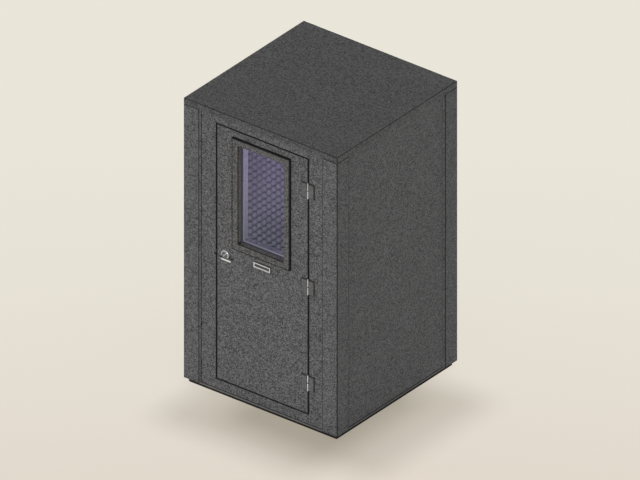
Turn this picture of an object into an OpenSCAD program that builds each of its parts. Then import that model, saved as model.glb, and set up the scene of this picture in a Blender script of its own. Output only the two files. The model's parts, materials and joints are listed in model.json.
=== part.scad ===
// Vocal booth: a free-standing, carpeted sound booth with a hinged, glazed door.
// Origin: centre of the plan, on the floor. +X is the hinge side, -Y the door side, +Z up.

/* [Booth] */
// Width over the corner trims
booth_w = 1270; // [1200:10:1500]
// Depth over the corner trims
booth_d = 1270; // [1150:10:1600]
// Height from the floor to the top of the roof
booth_h = 2143; // [2130:1:2400]
// Height of the visible edge of the roof cap
roof_t = 45; // [30:1:60]
// Thickness of the ceiling panel that drops in between the walls
ceiling_t = 50; // [30:1:55]

/* [Corner trims] */
// Width of a trim on each of its two faces
trim_w = 127; // [115:1:150]
// Thickness of a trim, which is how far it stands proud of the walls
trim_t = 20; // [12:1:25]

/* [Base] */
// Height from the floor to the top of the base
base_h = 38; // [30:1:60]
// How far the base is set back from the corner trims
base_setback = 25; // [22:1:60]
// Diameter of a rubber isolation pad
pad_d = 70; // [40:1:90]
// Thickness of a pad
pad_t = 14; // [10:1:20]
// How far a pad stands out below the base
pad_proud = 4; // [2:0.5:6]
// Number of pads along each side
pad_count = 3; // [2:1:5]
// Distance from the edge of the base to the middle of the outer pads
pad_inset = 90; // [60:5:200]
// Thickness of the carpet on the floor inside
carpet_t = 8; // [4:1:15]

/* [Walls] */
// Thickness of a whole wall
wall_t = 102; // [90:1:106]
// Thickness of the boards on both sides of a wall
board_t = 12; // [9:1:18]
// Width of the timber round the inside of a wall
stud_w = 38; // [25:1:50]
// Thickness of the gaskets under the walls and under the roof
gasket_t = 3; // [2:0.5:5]
// Width of those gaskets
gasket_w = 50; // [30:1:70]

/* [Door] */
// Width of the front panel between a corner trim and the door
door_margin = 131; // [100:1:160]
// Height of the front panel between the door and the roof cap
lintel_h = 67; // [60:1:140]
// Thickness of the door
door_t = 64; // [58:1:70]
// Height of the bottom of the door above the floor
door_bottom = 116; // [105:1:120]
// Gap between the door and its frame
door_gap = 5; // [4:0.5:6]

/* [Door frame] */
// Thickness of the door jamb
jamb_t = 19; // [16:1:22]
// How far the front panel laps over the edge of the jamb
jamb_lap = 6; // [4:1:10]
// How far the door stop stands out of the jamb
stop_w = 16; // [12:1:22]
// Thickness of the seal between the door and the stop
seal_t = 6; // [4:0.5:8]
// Width of the seal
seal_w = 10; // [8:1:12]
// Thickness of the threshold plate
threshold_t = 1.5; // [1:0.1:2]
// Width of the rubber sweep under the door
sweep_w = 8; // [6:1:12]
// Distance from the inner face of the door to the sweep
sweep_inset = 16; // [10:1:30]
// Depth of the groove that holds the sweep
sweep_groove = 12; // [8:1:20]

/* [Window] */
// Width of the door between its edge and the window frame
window_margin = 137; // [120:1:200]
// Height of the door above the window frame
window_top = 46; // [40:1:120]
// Height of the window frame above the bottom of the door
window_rise = 1029; // [1010:1:1300]
// Width of the window frame round the opening
window_rail = 50; // [30:1:55]
// How far the window frame stands proud of the door
window_proud = 20; // [12:1:20]
// How far its inner half stands out of the door's inner face
window_inner_proud = 30; // [12:1:34]
// Depth of the lip of the frame inside the door
window_lip_t = 10; // [8:1:12]
// How deep the panes lie behind the faces of the door
pane_depth = 20; // [16:1:22]
// Thickness of a pane
pane_t = 6; // [4:1:8]
// Thickness of the gaskets in front of and behind the panes
pane_gasket_t = 2; // [1:0.5:3]
// Clearance round the edge of a pane
pane_gap = 2; // [1:0.5:3]
// Radius of the rounded edges of the window frame
window_edge_r = 3; // [1:0.5:5]

/* [Hinges] */
// Height of a hinge
hinge_h = 114; // [90:1:140]
// Width of a leaf from the pin's axis
leaf_w = 56; // [40:1:65]
// Thickness of a leaf
leaf_t = 3.2; // [2:0.1:4]
// Radius of the knuckles
knuckle_r = 6.5; // [6:0.1:8]
// Number of knuckles
knuckle_count = 2; // [2:1:5]
// Radius of the pin
pin_r = 3; // [2:0.1:4]
// Distance from the ends of the door to the middle of the outer hinges
hinge_inset = 234; // [150:1:300]

/* [Handle] */
// Height of the lever above the bottom of the door
handle_rise = 955; // [900:1:1000]
// Distance from the edge of the door to the middle of the lever's rose
backset = 72; // [66:1:80]
// Diameter of a rose
rose_d = 65; // [58:1:70]
// Thickness of a rose
rose_t = 9; // [6:1:12]
// Width of a rose's raised rim
rose_rim = 9; // [6:0.5:12]
// Depth of the dish inside the rim
rose_dish = 3; // [1:0.5:4]
// Radius of the neck of the lever
neck_r = 9.5; // [8:0.5:11]
// How far the lever stands out of the door
lever_proud = 58; // [50:1:65]
// Length of the lever from the middle of its neck to its tip
lever_l = 92; // [70:1:125]
// Height of the lever's bar
lever_bar_h = 19; // [18:0.5:22]
// Thickness of the lever's bar
lever_bar_t = 13; // [10:1:16]
// How far the lever turns, in degrees
lever_turn = 45; // [30:1:50]
// Side of the square spindle
spindle_s = 8; // [6:0.5:8]

/* [Latch] */
// How far the bolt moves when the lever is turned
bolt_travel = 12; // [10:0.5:13]
// Thickness of the bolt
bolt_t = 12.4; // [10:0.1:14]
// Height of the bolt
bolt_h = 19.4; // [16:0.1:22]
// Length of the latch case behind its face plate
latch_case_l = 38; // [34:1:40]
// Height of the strike plate and the latch's face plate
faceplate_h = 57; // [50:1:70]
// Width of those plates
faceplate_w = 26; // [22:1:28]
// Thickness of those plates
faceplate_t = 3; // [2:0.5:4]

/* [Plate] */
// Width of the bare plate on the door
plate_w = 138; // [60:1:200]
// Height of the plate
plate_h = 38; // [20:1:50]
// Thickness of the plate
plate_t = 7; // [4:0.5:8]
// Gap between the window frame and the plate under it
plate_gap = 43; // [20:1:80]
// Width of its raised border
plate_border = 4; // [2:0.5:8]
// Depth of the field inside the border
plate_sink = 2; // [1:0.5:3]

/* [Foam] */
// Spacing of the pyramids
foam_pitch = 50.8; // [45:0.1:80]
// Thickness of the foam to the tips of the pyramids
foam_t = 50.8; // [35:0.1:60]
// Thickness of the solid foam behind the pyramids
foam_base_t = 17; // [10:1:25]
// Height of the bare skirting below the foam on the walls
skirting_h = 116; // [110:1:160]
// Distance from the bottom of the door to the foam on it
door_foam_rise = 60; // [50:1:120]
// Least distance from the foam on the door to the door stop
door_foam_inset = 50; // [30:1:100]
// Columns of pyramids left out round the vents
vent_cols = 4; // [4:1:5]
// Rows of pyramids left out round a vent
vent_rows = 4; // [4:1:5]

/* [Vents] */
// Inner diameter of a ventilation sleeve
duct_d = 100; // [80:1:110]
// Wall of a sleeve
duct_wall = 2; // [1.5:0.5:3]
// Length of the duct collar behind the wall
collar_l = 40; // [30:1:60]
// Width of a sleeve's flange
flange_w = 23; // [15:1:30]
// Thickness of a sleeve's flange
flange_t = 4; // [2:0.5:6]
// Thickness of a vent grille
grille_t = 6; // [4:0.5:10]
// Width of a grille's bars
bar_w = 3; // [2:0.5:4]
// Spacing of a grille's bars
bar_pitch = 10; // [8:0.5:14]

/* [Fan] */
// Length of the fan's frame
fan_l = 30; // [24:1:40]
// Distance from the inner face of the wall to the fan
fan_inset = 30; // [20:1:60]
// Wall of the fan's frame
fan_wall = 2; // [1.5:0.5:3]
// Radius of the rotor's hub
hub_r = 19; // [16:0.5:24]
// Number of blades
blade_count = 7; // [5:1:9]
// Thickness of a blade
blade_t = 2; // [1.5:0.1:3]
// Pitch of a blade, in degrees
blade_pitch = 32; // [20:1:40]
// Radius of the fan's shaft
fan_shaft_r = 2; // [1.5:0.1:3]

/* [Cable port] */
// Inner diameter of the cable bushing
port_d = 50; // [30:1:55]
// Wall of the bushing
port_wall = 4; // [3:0.5:5]
// Width of the bushing's flange
port_flange = 12; // [8:1:14]
// Distance from the side wall to the middle of the port
port_inset = 163; // [100:1:260]

/* [Hidden] */
$fn = 64;

carpet_colour = "dimgray";
dark = "black";
metal = "silver";
foam_colour = "slateblue";

// Overrun of a cut past the faces that it opens
over = 1;
// Running clearance between a pin and its bore, on the radius
run = 0.05;
// Clearance between a piece and the pocket or slot that holds it
fit = 0.3;
// Clearance of a sliding piece
slide = 0.3;
// Least gap between a foam panel's edge and what is beside it
foam_edge_gap = 3;
// Least gap between the foam on the door and what is above it
door_foam_gap = 5;

// Main faces, seen from above
front_y = -booth_d / 2 + trim_t;
back_y = booth_d / 2 - trim_t;
side_x = booth_w / 2 - trim_t;
inner_x = side_x - wall_t;
inner_front_y = front_y + wall_t;
inner_back_y = back_y - wall_t;
inner_w = 2 * inner_x;
inner_d = inner_back_y - inner_front_y;

// Main heights
wall_z0 = base_h + gasket_t;
roof_z = booth_h - roof_t;
wall_z1 = roof_z - gasket_t;
floor_z = base_h + carpet_t;
ceiling_z = roof_z - ceiling_t;

// Door and doorway
door_w = booth_w - 2 * (trim_w + door_margin);
door_top = roof_z - lintel_h;
door_inner_y = front_y + door_t;
doorway_w = door_w + 2 * door_gap;
doorway_z0 = door_bottom - door_gap;
doorway_z1 = door_top + door_gap;
doorway_h = doorway_z1 - doorway_z0;
jamb_y0 = front_y + jamb_lap;
stop_y0 = door_inner_y + seal_t;
door_left = -door_w / 2;
door_right = door_w / 2;
threshold_z = doorway_z0 + threshold_t;
sweep_y0 = door_inner_y - sweep_inset - sweep_w;
sweep_y1 = door_inner_y - sweep_inset;

// Hinge axis
hinge_x = door_right + door_gap / 2;
hinge_y = front_y - knuckle_r;
hinge_z = [door_bottom + hinge_inset, (door_bottom + door_top) / 2, door_top - hinge_inset];
knuckle_gap = 0.8;
knuckle_h = (hinge_h - (knuckle_count - 1) * knuckle_gap) / knuckle_count;
knuckle_step = knuckle_h + knuckle_gap;
knuckle_clear = 0.8;
pin_head_r = 5;
pin_head_t = 3;

// Window
frame_w = door_w - 2 * window_margin;
frame_z0 = door_bottom + window_rise;
frame_z1 = door_top - window_top;
frame_h = frame_z1 - frame_z0;
window_w = frame_w - 2 * window_rail;
window_h = frame_h - 2 * window_rail;
window_z = (frame_z0 + frame_z1) / 2;
cutout_w = window_w + 2 * window_lip_t;
cutout_h = window_h + 2 * window_lip_t;
pane_outer_y = front_y + pane_depth;
pane_inner_y = door_inner_y - pane_depth - pane_t;

// Handle and latch
handle_x = door_left + backset;
handle_z = door_bottom + handle_rise;
latch_y = front_y + door_t / 2;
cross_bore_r = 27;
socket_l = 24;
socket_s = spindle_s + fit;
hub_disc_r = 10;
cam_t = 8;
cam_pin_r = 2;
// Radius at which the cam's pin draws the bolt back by its travel
cam_r = bolt_travel / (2 * sin(lever_turn / 2));
tail_t = 3;
tail_low = 6;
tail_rise = 9;
tail_top = 20;
tail_back = 16;
tail_front = 15;
bolt_seat = 20;
case_wall = 3;
case_t = bolt_t + 2 * slide + 2 * case_wall;
case_h = bolt_h + 2 * slide + 2 * case_wall;
strike_t = 2;
strike_lip_h = 30;
bolt_room = 1;
bolt_end_room = 3;

// Vents and cable port
duct_r = duct_d / 2;
sleeve_r = duct_r + duct_wall;
flange_r = sleeve_r + flange_w;
vent_x = 0;
port_r = port_d / 2;
bushing_r = port_r + port_wall;
port_x = inner_x - port_inset;
port_z = floor_z + skirting_h / 2;
fan_y0 = inner_back_y + fan_inset;
spider_t = 3;
spider_arm_w = 6;
spider_arms = 3;
motor_r = 14;
motor_h = 9;
hub_wall = 3;
rotor_gap = 2;
tip_gap = 2;
shaft_start = 1;

// Foam
foam_z0 = floor_z + skirting_h;
foam_rows = floor((ceiling_z - foam_t - foam_z0) / foam_pitch);
room_y = (inner_front_y + inner_back_y) / 2;
side_foam_cols = floor((inner_d - 2 * foam_edge_gap) / foam_pitch);
side_foam_w = side_foam_cols * foam_pitch;
back_foam_cols = floor((inner_w - 2 * foam_t - 2 * foam_edge_gap) / foam_pitch);
vent_side_cols = floor((back_foam_cols - vent_cols) / 2);
vent_foam_w = vent_cols * foam_pitch;
ceiling_cols = floor((inner_w - 2 * foam_edge_gap) / foam_pitch);
door_foam_z0 = door_bottom + door_foam_rise;
lever_low_z = handle_z - lever_l * sin(lever_turn) - lever_bar_h / 2;
door_foam_z1 = min(lever_low_z, frame_z0) - door_foam_gap;
door_foam_rows = floor((door_foam_z1 - door_foam_z0) / foam_pitch);
door_foam_cols = floor((doorway_w - 2 * (stop_w + door_foam_inset)) / foam_pitch);
vent_half = vent_rows * foam_pitch / 2;
foam_z1 = foam_z0 + foam_rows * foam_pitch;
intake_z = foam_z0 + vent_half;
exhaust_z = foam_z1 - vent_half;

// A box from its lowest corner to its highest
module box(low, high) {
    translate(low) cube(high - low);
}

// A round bar along Y
module bar_y(r, y0, y1) {
    translate([0, y1, 0]) rotate([90, 0, 0]) cylinder(r = r, h = y1 - y0);
}

// A rectangular ring in the plane of the front, centred on the origin, from y0 to y1
module ring_y(outer_w, outer_h, inner_w, inner_h, y0, y1) {
    difference() {
        box([-outer_w / 2, y0, -outer_h / 2], [outer_w / 2, y1, outer_h / 2]);
        box([-inner_w / 2, y0 - over, -inner_h / 2], [inner_w / 2, y1 + over, inner_h / 2]);
    }
}

module in_window() {
    translate([0, 0, window_z]) children();
}

module in_doorway() {
    translate([0, 0, (doorway_z0 + doorway_z1) / 2]) children();
}

module at_handle() {
    translate([handle_x, 0, handle_z]) children();
}

// Base and floor
module floor_slab(z0, z1) {
    edge_x = booth_w / 2 - base_setback;
    edge_y = booth_d / 2 - base_setback;
    box([-edge_x, -edge_y, z0], [edge_x, edge_y, z1]);
}

module at_pads() {
    reach_x = booth_w / 2 - base_setback - pad_inset;
    reach_y = booth_d / 2 - base_setback - pad_inset;
    for (i = [0 : pad_count - 1])
        for (j = [0 : pad_count - 1])
            translate([reach_x * (2 * i / (pad_count - 1) - 1), reach_y * (2 * j / (pad_count - 1) - 1), 0])
                children();
}

module isolation_pads() {
    color(dark) at_pads() cylinder(d = pad_d, h = pad_t);
}

module floor_base() {
    color(dark) difference() {
        floor_slab(pad_proud, base_h);
        at_pads() cylinder(d = pad_d + 2 * fit, h = pad_t);
    }
}

module floor_carpet() {
    color(carpet_colour)
        box([-inner_x + fit, inner_front_y + fit, base_h], [inner_x - fit, inner_back_y - fit, floor_z]);
}

// A strip round the whole plan, centred on the thickness of the walls
module gasket_ring(z0) {
    middle_x = side_x - wall_t / 2;
    middle_y = back_y - wall_t / 2;
    half = gasket_w / 2;
    difference() {
        box([-middle_x - half, -middle_y - half, z0], [middle_x + half, middle_y + half, z0 + gasket_t]);
        box([-middle_x + half, -middle_y + half, z0 - over],
            [middle_x - half, middle_y - half, z0 + gasket_t + over]);
    }
}

module floor_gasket() {
    color(dark) gasket_ring(base_h);
}

module roof_gasket() {
    color(dark) gasket_ring(wall_z1);
}

// Side wall with its outer face at +X, as a tray that is open to the inside
module side_shell() {
    difference() {
        box([inner_x + board_t, front_y, wall_z0], [side_x, back_y, wall_z1]);
        box([inner_x, front_y + stud_w, wall_z0 + stud_w],
            [side_x - board_t, back_y - stud_w, wall_z1 - stud_w]);
    }
}

module side_liner() {
    box([inner_x, front_y, wall_z0], [inner_x + board_t, back_y, wall_z1]);
}

module side_core() {
    box([inner_x + board_t, front_y + stud_w + fit, wall_z0 + stud_w + fit],
        [side_x - board_t, back_y - stud_w - fit, wall_z1 - stud_w - fit]);
}

module wall_right_shell() {
    color(carpet_colour) side_shell();
}

module wall_left_shell() {
    color(carpet_colour) mirror([1, 0, 0]) side_shell();
}

module wall_right_liner() {
    color(carpet_colour) side_liner();
}

module wall_left_liner() {
    color(carpet_colour) mirror([1, 0, 0]) side_liner();
}

// The round holes through the back wall
module back_holes(extra) {
    for (z = [intake_z, exhaust_z])
        translate([vent_x, 0, z]) bar_y(sleeve_r + extra, inner_back_y - over, back_y + over);
    translate([port_x, 0, port_z]) bar_y(bushing_r + extra, inner_back_y - over, back_y + over);
}

module wall_back_shell() {
    color(carpet_colour) difference() {
        box([-inner_x, back_y - board_t, wall_z0], [inner_x, back_y, wall_z1]);
        back_holes(fit);
    }
}

// The timber round the inside of the back wall, between its two boards: two posts and two rails
module wall_back_frame() {
    y0 = inner_back_y + board_t;
    y1 = back_y - board_t;
    rail_x = inner_x - stud_w - fit;
    color("burlywood") difference() {
        union() {
            box([-inner_x, y0, wall_z0], [-inner_x + stud_w, y1, wall_z1]);
            box([inner_x - stud_w, y0, wall_z0], [inner_x, y1, wall_z1]);
            box([-rail_x, y0, wall_z0], [rail_x, y1, wall_z0 + stud_w]);
            box([-rail_x, y0, wall_z1 - stud_w], [rail_x, y1, wall_z1]);
        }
        back_holes(fit);
    }
}

// One board of the back wall's lining, with half a joint's width taken off each side
module lining_board(x0, x1, z0, z1) {
    joint = fit / 2;
    box([x0 + joint, inner_back_y, z0 + joint], [x1 - joint, inner_back_y + board_t, z1 - joint]);
}

// A skirting board, a head board, and the boards behind the foam, two of which carry the vents
module wall_back_liner() {
    vent_edge = vent_foam_w / 2;
    low_vent_z1 = intake_z + vent_half;
    high_vent_z0 = exhaust_z - vent_half;
    color(carpet_colour) difference() {
        union() {
            lining_board(-inner_x, inner_x, wall_z0, foam_z0);
            lining_board(-inner_x, -vent_edge, foam_z0, foam_z1);
            lining_board(vent_edge, inner_x, foam_z0, foam_z1);
            lining_board(-vent_edge, vent_edge, foam_z0, low_vent_z1);
            lining_board(-vent_edge, vent_edge, low_vent_z1, high_vent_z0);
            lining_board(-vent_edge, vent_edge, high_vent_z0, foam_z1);
            lining_board(-inner_x, inner_x, foam_z1, wall_z1);
        }
        back_holes(fit);
    }
}

module wall_cores() {
    color("khaki") {
        side_core();
        mirror([1, 0, 0]) side_core();
        difference() {
            box([-inner_x + stud_w + fit, inner_back_y + board_t, wall_z0 + stud_w + fit],
                [inner_x - stud_w - fit, back_y - board_t, wall_z1 - stud_w - fit]);
            back_holes(fit);
        }
    }
}

// Plate with a lip that the bolt springs into, with its face on the jamb; grow makes the recess for it
module strike_shape(grow) {
    half_w = faceplate_w / 2 + grow;
    half_h = faceplate_h / 2 + grow;
    lip = strike_lip_h / 2 + grow;
    x0 = -doorway_w / 2 - strike_t - grow;
    translate([0, 0, handle_z]) {
        box([x0, latch_y - half_w, -half_h], [-doorway_w / 2, latch_y + half_w, half_h]);
        box([x0, front_y, -lip], [-doorway_w / 2, latch_y, lip]);
    }
}

module strike_plate() {
    half_t = bolt_t / 2 + bolt_room;
    half_h = bolt_h / 2 + bolt_room;
    color("dimgray") difference() {
        strike_shape(0);
        box([-doorway_w / 2 - strike_t - over, latch_y - half_t, handle_z - half_h],
            [-doorway_w / 2 + over, latch_y + half_t, handle_z + half_h]);
    }
}

module front_wall() {
    color(carpet_colour) difference() {
        box([-inner_x, front_y, wall_z0], [inner_x, inner_front_y, wall_z1]);
        in_doorway() box([-doorway_w / 2, front_y - over, -doorway_h / 2],
            [doorway_w / 2, inner_front_y + over, doorway_h / 2]);
        in_doorway() box([-doorway_w / 2 - jamb_t, jamb_y0, -doorway_h / 2 - jamb_t],
            [doorway_w / 2 + jamb_t, inner_front_y + over, doorway_h / 2 + jamb_t]);
        strike_shape(fit);
    }
}

module door_jamb() {
    pocket_h = bolt_h / 2 + bolt_room;
    pocket_t = bolt_t / 2 + bolt_room;
    color(dark) difference() {
        in_doorway() ring_y(doorway_w + 2 * jamb_t, doorway_h + 2 * jamb_t, doorway_w, doorway_h,
            jamb_y0, inner_front_y);
        strike_shape(fit);
        box([door_left - bolt_travel - bolt_end_room, latch_y - pocket_t, handle_z - pocket_h],
            [-doorway_w / 2, latch_y + pocket_t, handle_z + pocket_h]);
    }
}

module door_stop() {
    color(dark) in_doorway()
        ring_y(doorway_w, doorway_h, doorway_w - 2 * stop_w, doorway_h - 2 * stop_w, stop_y0, inner_front_y);
}

// One side of the seal: a flat strip with a round bead towards the door
module seal_side(length) {
    bead_r = seal_t / 2 - fit / 2;
    translate([0, 0, -length / 2]) linear_extrude(length) {
        translate([0, stop_y0 - seal_t / 2]) square([seal_w, seal_t / 2]);
        translate([seal_w / 2, stop_y0 - bead_r]) circle(r = bead_r);
    }
}

module door_seal() {
    edge_x = doorway_w / 2 - stop_w;
    edge_z = doorway_h / 2 - stop_w;
    color(dark) in_doorway() {
        for (side = [0, 1]) {
            mirror([side, 0, 0]) translate([edge_x, 0, 0]) seal_side(2 * (edge_z + seal_w));
            mirror([0, 0, side]) rotate([0, -90, 0]) translate([edge_z, 0, 0])
                seal_side(2 * (edge_x + seal_w));
        }
    }
}

module threshold() {
    color(metal) box([-doorway_w / 2 + fit, jamb_y0, doorway_z0],
        [doorway_w / 2 - fit, stop_y0 - seal_t, threshold_z]);
}

// Roof and trims
module ceiling_panel() {
    color(carpet_colour)
        box([-inner_x + fit, inner_front_y + fit, ceiling_z], [inner_x - fit, inner_back_y - fit, roof_z]);
}

module roof_cap() {
    color(carpet_colour)
        box([-booth_w / 2, -booth_d / 2, roof_z], [booth_w / 2, booth_d / 2, booth_h]);
}

// L-shaped trim for the corner at +X +Y
module corner_trim() {
    x = booth_w / 2;
    y = booth_d / 2;
    color(carpet_colour) translate([0, 0, base_h]) linear_extrude(roof_z - base_h)
        polygon([
            [x, y], [x - trim_w, y], [x - trim_w, y - trim_t],
            [x - trim_t, y - trim_t], [x - trim_t, y - trim_w], [x, y - trim_w]
        ]);
}

module corner_trim_back_right() {
    corner_trim();
}

module corner_trim_back_left() {
    mirror([1, 0, 0]) corner_trim();
}

module corner_trim_front_right() {
    mirror([0, 1, 0]) corner_trim();
}

module corner_trim_front_left() {
    mirror([1, 0, 0]) mirror([0, 1, 0]) corner_trim();
}

// A panel of pyramids: cols along X, rows along Y, its back on z = 0 and its tips towards +Z
module pyramids(cols, rows) {
    p = foam_pitch;
    w = cols * p;
    h = rows * p;
    valleys = [for (j = [0 : rows]) for (i = [0 : cols]) [i * p, j * p, foam_base_t]];
    tips = [for (j = [0 : rows - 1]) for (i = [0 : cols - 1]) [(i + 0.5) * p, (j + 0.5) * p, foam_t]];
    corners = [[0, 0, 0], [w, 0, 0], [w, h, 0], [0, h, 0]];
    tip0 = len(valleys);
    c = tip0 + len(tips);
    function valley(i, j) = i + j * (cols + 1);
    slopes = [
        for (j = [0 : rows - 1]) for (i = [0 : cols - 1]) for (side = [0 : 3])
            let (
                ring = [valley(i, j), valley(i + 1, j), valley(i + 1, j + 1), valley(i, j + 1)],
                tip = tip0 + i + j * cols
            )
            [ring[(side + 1) % 4], ring[side], tip]
    ];
    edges = [
        [c, for (i = [0 : cols]) valley(i, 0), c + 1],
        [c + 2, for (i = [cols : -1 : 0]) valley(i, rows), c + 3],
        [c + 3, for (j = [rows : -1 : 0]) valley(0, j), c],
        [c + 1, for (j = [0 : rows]) valley(cols, j), c + 2],
        [c, c + 1, c + 2, c + 3]
    ];
    polyhedron(points = concat(valleys, tips, corners), faces = concat(slopes, edges));
}

module foam_left() {
    color(foam_colour) translate([-inner_x, room_y - side_foam_w / 2, foam_z0])
        rotate([90, 0, 90]) pyramids(side_foam_cols, foam_rows);
}

module foam_right() {
    color(foam_colour) translate([inner_x, room_y + side_foam_w / 2, foam_z0])
        rotate([90, 0, -90]) pyramids(side_foam_cols, foam_rows);
}

module foam_back() {
    color(foam_colour) translate([0, inner_back_y, foam_z0]) {
        for (x = [-vent_foam_w / 2 - fit - vent_side_cols * foam_pitch, vent_foam_w / 2 + fit])
            translate([x, 0, 0]) rotate([90, 0, 0]) pyramids(vent_side_cols, foam_rows);
        translate([-vent_foam_w / 2, 0, vent_rows * foam_pitch])
            rotate([90, 0, 0]) pyramids(vent_cols, foam_rows - 2 * vent_rows);
    }
}

module foam_ceiling() {
    color(foam_colour) translate([-ceiling_cols * foam_pitch / 2, room_y + side_foam_w / 2, ceiling_z])
        rotate([180, 0, 0]) pyramids(ceiling_cols, side_foam_cols);
}

module foam_door() {
    color(foam_colour) translate([door_foam_cols * foam_pitch / 2, door_inner_y, door_foam_z0])
        rotate([90, 0, 180]) pyramids(door_foam_cols, door_foam_rows);
}

// Hinges: the frame's leaf has the odd knuckles and the door's leaf the even ones
module knuckles(first) {
    for (k = [first : 2 : knuckle_count - 1])
        translate([0, 0, -hinge_h / 2 + k * knuckle_step]) cylinder(r = knuckle_r, h = knuckle_h);
}

// Clears the other leaf's knuckles out of a leaf
module knuckle_room(first) {
    room = knuckle_r + knuckle_clear;
    for (k = [first : 2 : knuckle_count - 1])
        translate([0, 0, -hinge_h / 2 + k * knuckle_step - knuckle_gap])
            box([-room, -knuckle_r - over, 0], [room, knuckle_r + over, knuckle_h + 2 * knuckle_gap]);
}

module leaf(z, side, first) {
    color(carpet_colour) translate([hinge_x, hinge_y, z]) difference() {
        union() {
            knuckles(first);
            difference() {
                box([min(0, side * leaf_w), knuckle_r - leaf_t, -hinge_h / 2],
                    [max(0, side * leaf_w), knuckle_r, hinge_h / 2]);
                knuckle_room(1 - first);
            }
        }
        translate([0, 0, -hinge_h / 2 - over]) cylinder(r = pin_r + run, h = hinge_h + 2 * over);
    }
}

module hinge_pins() {
    color(metal) for (z = hinge_z) translate([hinge_x, hinge_y, z]) {
        translate([0, 0, -hinge_h / 2]) cylinder(r = pin_r, h = hinge_h);
        for (end = [-hinge_h / 2 - pin_head_t, hinge_h / 2])
            translate([0, 0, end]) cylinder(r = pin_head_r, h = pin_head_t);
    }
}

// Ventilation and cable port
module sleeve(z) {
    color(metal) translate([vent_x, 0, z]) difference() {
        union() {
            bar_y(sleeve_r, inner_back_y, back_y + collar_l);
            bar_y(flange_r, back_y, back_y + flange_t);
        }
        bar_y(duct_r, inner_back_y - over, back_y + collar_l + over);
    }
}

module grille(z) {
    bars = floor(duct_r / bar_pitch);
    color(dark) translate([vent_x, 0, z]) {
        difference() {
            bar_y(flange_r, inner_back_y - grille_t, inner_back_y);
            bar_y(duct_r, inner_back_y - grille_t - over, inner_back_y + over);
        }
        for (i = [-bars : bars]) {
            half = sqrt(sleeve_r * sleeve_r - pow(abs(i * bar_pitch) + bar_w / 2, 2));
            box([-half, inner_back_y - grille_t, i * bar_pitch - bar_w / 2],
                [half, inner_back_y, i * bar_pitch + bar_w / 2]);
        }
    }
}

module fan_frame() {
    outer = duct_r - fit;
    inner = outer - fan_wall;
    color(dark) translate([vent_x, fan_y0, exhaust_z]) {
        difference() {
            union() {
                difference() {
                    bar_y(outer, 0, fan_l);
                    bar_y(inner, -over, fan_l + over);
                }
                for (i = [0 : spider_arms - 1]) rotate([0, i * 360 / spider_arms, 0])
                    box([0, 0, -spider_arm_w / 2], [inner + fan_wall / 2, spider_t, spider_arm_w / 2]);
                bar_y(motor_r, 0, motor_h);
            }
            bar_y(fan_shaft_r + run, shaft_start, motor_h + over);
        }
    }
}

module fan_rotor() {
    tip = duct_r - fit - fan_wall - tip_gap;
    y0 = spider_t + rotor_gap;
    y1 = fan_l - rotor_gap;
    color("gray") translate([vent_x, fan_y0, exhaust_z]) {
        difference() {
            bar_y(hub_r, y0, y1);
            bar_y(hub_r - hub_wall, y0 - over, y1 - hub_wall);
        }
        bar_y(fan_shaft_r, shaft_start + fit, y1 - hub_wall / 2);
        for (i = [0 : blade_count - 1]) rotate([0, i * 360 / blade_count, 0]) intersection() {
            bar_y(tip, y0 + blade_t, y1 - blade_t);
            translate([0, (y0 + y1) / 2, 0]) rotate([blade_pitch, 0, 0])
                box([hub_r - hub_wall / 2, -fan_l, -blade_t / 2], [duct_r, fan_l, blade_t / 2]);
        }
    }
}

module cable_bushing() {
    color(dark) translate([port_x, 0, port_z]) difference() {
        union() {
            bar_y(bushing_r, inner_back_y, back_y + flange_t);
            bar_y(bushing_r + port_flange, back_y, back_y + flange_t);
        }
        bar_y(port_r, inner_back_y - over, back_y + flange_t + over);
    }
}

// Door
module latch_pocket(extra) {
    at_handle() {
        box([-backset, latch_y - case_t / 2 - extra, -case_h / 2 - extra],
            [-backset + latch_case_l + extra, latch_y + case_t / 2 + extra, case_h / 2 + extra]);
        box([-backset, latch_y - faceplate_w / 2 - extra, -faceplate_h / 2 - extra],
            [-backset + faceplate_t, latch_y + faceplate_w / 2 + extra, faceplate_h / 2 + extra]);
    }
}

module door_slab() {
    color(carpet_colour) difference() {
        box([door_left, front_y, door_bottom], [door_right, door_inner_y, door_top]);
        in_window() box([-cutout_w / 2, front_y - over, -cutout_h / 2],
            [cutout_w / 2, door_inner_y + over, cutout_h / 2]);
        at_handle() bar_y(cross_bore_r, front_y - over, door_inner_y + over);
        latch_pocket(fit);
        at_handle() box([-backset, latch_y - bolt_t / 2 - over, -bolt_h / 2 - over],
            [0, latch_y + bolt_t / 2 + over, bolt_h / 2 + over]);
        box([door_left - over, sweep_y0 - fit, door_bottom - over],
            [door_right + over, sweep_y1 + fit, door_bottom + sweep_groove]);
    }
}

module door_sweep() {
    color(dark) box([door_left, sweep_y0, threshold_z + fit],
        [door_right, sweep_y1, door_bottom + sweep_groove - fit]);
}

// Window frame half with its proud face towards -Y and the door's face at y = 0
module window_frame(proud) {
    difference() {
        union() {
            ring_y(frame_w, frame_h, window_w, window_h, -proud, 0);
            ring_y(cutout_w - 2 * fit, cutout_h - 2 * fit, window_w, window_h,
                -over, pane_depth - pane_gasket_t);
        }
        for (side = [0, 1]) mirror([side, 0, 0])
            translate([frame_w / 2, -proud, -frame_h / 2 - over]) edge_cut(frame_h + 2 * over);
        for (side = [0, 1]) mirror([0, 0, side]) rotate([0, -90, 0])
            translate([frame_h / 2, -proud, -frame_w / 2 - over]) edge_cut(frame_w + 2 * over);
    }
}

// What is cut off to round the edge of a frame along Z, with the edge at the origin
module edge_cut(length) {
    r = window_edge_r;
    linear_extrude(length) difference() {
        translate([-r, -over]) square([r + over, r + over]);
        translate([-r, r]) circle(r = r);
    }
}

module window_frame_outer() {
    color(carpet_colour) translate([0, front_y, window_z]) window_frame(window_proud);
}

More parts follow.
